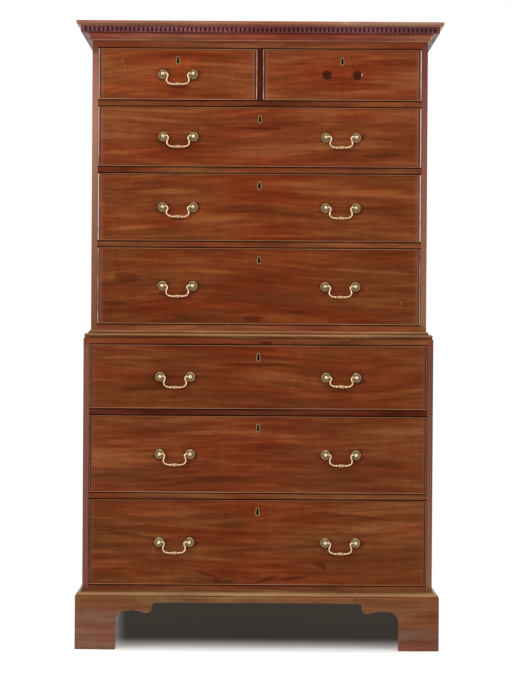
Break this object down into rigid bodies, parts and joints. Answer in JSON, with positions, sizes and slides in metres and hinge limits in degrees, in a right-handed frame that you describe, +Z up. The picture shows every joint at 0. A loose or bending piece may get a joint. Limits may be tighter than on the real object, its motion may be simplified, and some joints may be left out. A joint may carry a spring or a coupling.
{
  "type": "chest on chest",
  "caption": "Tall mahogany chest on chest: an upper case of drawers on a wider lower case with bracket feet, a dentil cornice and swan-neck brass handles.",
  "frame": {"origin": "on the floor under the middle of the overall box", "axes": "+Z up, -Y towards the front, +X to the right of someone who faces it"},
  "size_m": [1.08, 0.544, 1.85],
  "materials": {
    "mahogany_fronts": "figured mahogany veneer, old wax polish, satin",
    "mahogany_case": "mahogany boards, old wax polish, satin",
    "mahogany_rails": "mahogany rails, waxed",
    "mahogany_mouldings": "run mahogany mouldings, waxed, worn paler on the edges",
    "mahogany_dark": "dark mahogany, waxed",
    "mahogany_feet": "mahogany, waxed",
    "oak_linings": "bare oak, aged",
    "pine_carcass": "bare pine, aged and dusty",
    "old_brass": "cast brass, polished on the high parts, dark in the hollows"
  },
  "bodies": {
    "carcass": {"lower_side_left": "mahogany_case", "lower_side_right": "mahogany_case", "upper_side_left": "mahogany_case", "upper_side_right": "mahogany_case", "lower_top_board": "pine_carcass", "lower_bottom_board": "pine_carcass", "upper_top_board": "pine_carcass", "upper_bottom_board": "pine_carcass", "lower_back_boards": "pine_carcass", "upper_back_boards": "pine_carcass", "lower_rails_and_blades": "mahogany_rails", "upper_drawer_blades": "mahogany_rails", "upper_frieze_and_bottom_rail": "mahogany_rails", "upper_partition": "mahogany_dark", "lower_runners_and_dust_boards": "oak_linings", "upper_runners_and_dust_boards": "oak_linings", "cornice_bed_moulding": "mahogany_mouldings", "cornice_dentil_course": "mahogany_dark", "cornice_crown_moulding": "mahogany_mouldings", "waist_moulding": "mahogany_mouldings", "base_moulding_and_plinth": "mahogany_mouldings", "front_bracket_feet": "mahogany_feet", "rear_bracket_feet": "mahogany_feet"},
    "top_left_drawer": {"top_left_drawer_front": "mahogany_fronts", "top_left_drawer_box": "oak_linings", "top_left_drawer_brassware": "old_brass"},
    "top_left_drawer_bail": {"top_left_drawer_bail": "old_brass"},
    "top_right_drawer": {"top_right_drawer_front": "mahogany_fronts", "top_right_drawer_box": "oak_linings", "top_right_drawer_brassware": "old_brass"},
    "second_drawer": {"second_drawer_front": "mahogany_fronts", "second_drawer_box": "oak_linings", "second_drawer_brassware": "old_brass"},
    "second_drawer_bail_left": {"second_drawer_bail_left": "old_brass"},
    "second_drawer_bail_right": {"second_drawer_bail_right": "old_brass"},
    "third_drawer": {"third_drawer_front": "mahogany_fronts", "third_drawer_box": "oak_linings", "third_drawer_brassware": "old_brass"},
    "third_drawer_bail_left": {"third_drawer_bail_left": "old_brass"},
    "third_drawer_bail_right": {"third_drawer_bail_right": "old_brass"},
    "fourth_drawer": {"fourth_drawer_front": "mahogany_fronts", "fourth_drawer_box": "oak_linings", "fourth_drawer_brassware": "old_brass"},
    "fourth_drawer_bail_left": {"fourth_drawer_bail_left": "old_brass"},
    "fourth_drawer_bail_right": {"fourth_drawer_bail_right": "old_brass"},
    "fifth_drawer": {"fifth_drawer_front": "mahogany_fronts", "fifth_drawer_box": "oak_linings", "fifth_drawer_brassware": "old_brass"},
    "fifth_drawer_bail_left": {"fifth_drawer_bail_left": "old_brass"},
    "fifth_drawer_bail_right": {"fifth_drawer_bail_right": "old_brass"},
    "sixth_drawer": {"sixth_drawer_front": "mahogany_fronts", "sixth_drawer_box": "oak_linings", "sixth_drawer_brassware": "old_brass"},
    "sixth_drawer_bail_left": {"sixth_drawer_bail_left": "old_brass"},
    "sixth_drawer_bail_right": {"sixth_drawer_bail_right": "old_brass"},
    "bottom_drawer": {"bottom_drawer_front": "mahogany_fronts", "bottom_drawer_box": "oak_linings", "bottom_drawer_brassware": "old_brass"},
    "bottom_drawer_bail_left": {"bottom_drawer_bail_left": "old_brass"},
    "bottom_drawer_bail_right": {"bottom_drawer_bail_right": "old_brass"}
  },
  "joints": [
    {"name": "top_left_drawer_slide", "type": "slide", "parent": "carcass", "child": "top_left_drawer", "axis": [0, -1, 0], "range_m": [0, 0.35]},
    {"name": "top_left_drawer_bail_hinge", "type": "hinge", "parent": "top_left_drawer", "child": "top_left_drawer_bail", "pos_m": [-0.243, -0.241, 1.69825], "axis": [-1, 0, 0], "range_deg": [-12, 192]},
    {"name": "top_right_drawer_slide", "type": "slide", "parent": "carcass", "child": "top_right_drawer", "axis": [0, -1, 0], "range_m": [0, 0.35]},
    {"name": "second_drawer_slide", "type": "slide", "parent": "carcass", "child": "second_drawer", "axis": [0, -1, 0], "range_m": [0, 0.35]},
    {"name": "second_drawer_bail_left_hinge", "type": "hinge", "parent": "second_drawer", "child": "second_drawer_bail_left", "pos_m": [-0.241, -0.241, 1.51375], "axis": [-1, 0, 0], "range_deg": [-12, 192]},
    {"name": "second_drawer_bail_right_hinge", "type": "hinge", "parent": "second_drawer", "child": "second_drawer_bail_right", "pos_m": [0.241, -0.241, 1.51375], "axis": [-1, 0, 0], "range_deg": [-12, 192]},
    {"name": "third_drawer_slide", "type": "slide", "parent": "carcass", "child": "third_drawer", "axis": [0, -1, 0], "range_m": [0, 0.35]},
    {"name": "third_drawer_bail_left_hinge", "type": "hinge", "parent": "third_drawer", "child": "third_drawer_bail_left", "pos_m": [-0.241, -0.241, 1.30525], "axis": [-1, 0, 0], "range_deg": [-12, 192]},
    {"name": "third_drawer_bail_right_hinge", "type": "hinge", "parent": "third_drawer", "child": "third_drawer_bail_right", "pos_m": [0.241, -0.241, 1.30525], "axis": [-1, 0, 0], "range_deg": [-12, 192]},
    {"name": "fourth_drawer_slide", "type": "slide", "parent": "carcass", "child": "fourth_drawer", "axis": [0, -1, 0], "range_m": [0, 0.35]},
    {"name": "fourth_drawer_bail_left_hinge", "type": "hinge", "parent": "fourth_drawer", "child": "fourth_drawer_bail_left", "pos_m": [-0.241, -0.241, 1.07225], "axis": [-1, 0, 0], "range_deg": [-12, 192]},
    {"name": "fourth_drawer_bail_right_hinge", "type": "hinge", "parent": "fourth_drawer", "child": "fourth_drawer_bail_right", "pos_m": [0.241, -0.241, 1.07225], "axis": [-1, 0, 0], "range_deg": [-12, 192]},
    {"name": "fifth_drawer_slide", "type": "slide", "parent": "carcass", "child": "fifth_drawer", "axis": [0, -1, 0], "range_m": [0, 0.36]},
    {"name": "fifth_drawer_bail_left_hinge", "type": "hinge", "parent": "fifth_drawer", "child": "fifth_drawer_bail_left", "pos_m": [-0.245, -0.261, 0.80375], "axis": [-1, 0, 0], "range_deg": [-12, 192]},
    {"name": "fifth_drawer_bail_right_hinge", "type": "hinge", "parent": "fifth_drawer", "child": "fifth_drawer_bail_right", "pos_m": [0.245, -0.261, 0.80375], "axis": [-1, 0, 0], "range_deg": [-12, 192]},
    {"name": "sixth_drawer_slide", "type": "slide", "parent": "carcass", "child": "sixth_drawer", "axis": [0, -1, 0], "range_m": [0, 0.36]},
    {"name": "sixth_drawer_bail_left_hinge", "type": "hinge", "parent": "sixth_drawer", "child": "sixth_drawer_bail_left", "pos_m": [-0.245, -0.261, 0.5755], "axis": [-1, 0, 0], "range_deg": [-12, 192]},
    {"name": "sixth_drawer_bail_right_hinge", "type": "hinge", "parent": "sixth_drawer", "child": "sixth_drawer_bail_right", "pos_m": [0.245, -0.261, 0.5755], "axis": [-1, 0, 0], "range_deg": [-12, 192]},
    {"name": "bottom_drawer_slide", "type": "slide", "parent": "carcass", "child": "bottom_drawer", "axis": [0, -1, 0], "range_m": [0, 0.36]},
    {"name": "bottom_drawer_bail_left_hinge", "type": "hinge", "parent": "bottom_drawer", "child": "bottom_drawer_bail_left", "pos_m": [-0.245, -0.261, 0.31575], "axis": [-1, 0, 0], "range_deg": [-12, 192]},
    {"name": "bottom_drawer_bail_right_hinge", "type": "hinge", "parent": "bottom_drawer", "child": "bottom_drawer_bail_right", "pos_m": [0.245, -0.261, 0.31575], "axis": [-1, 0, 0], "range_deg": [-12, 192]}
  ]
}
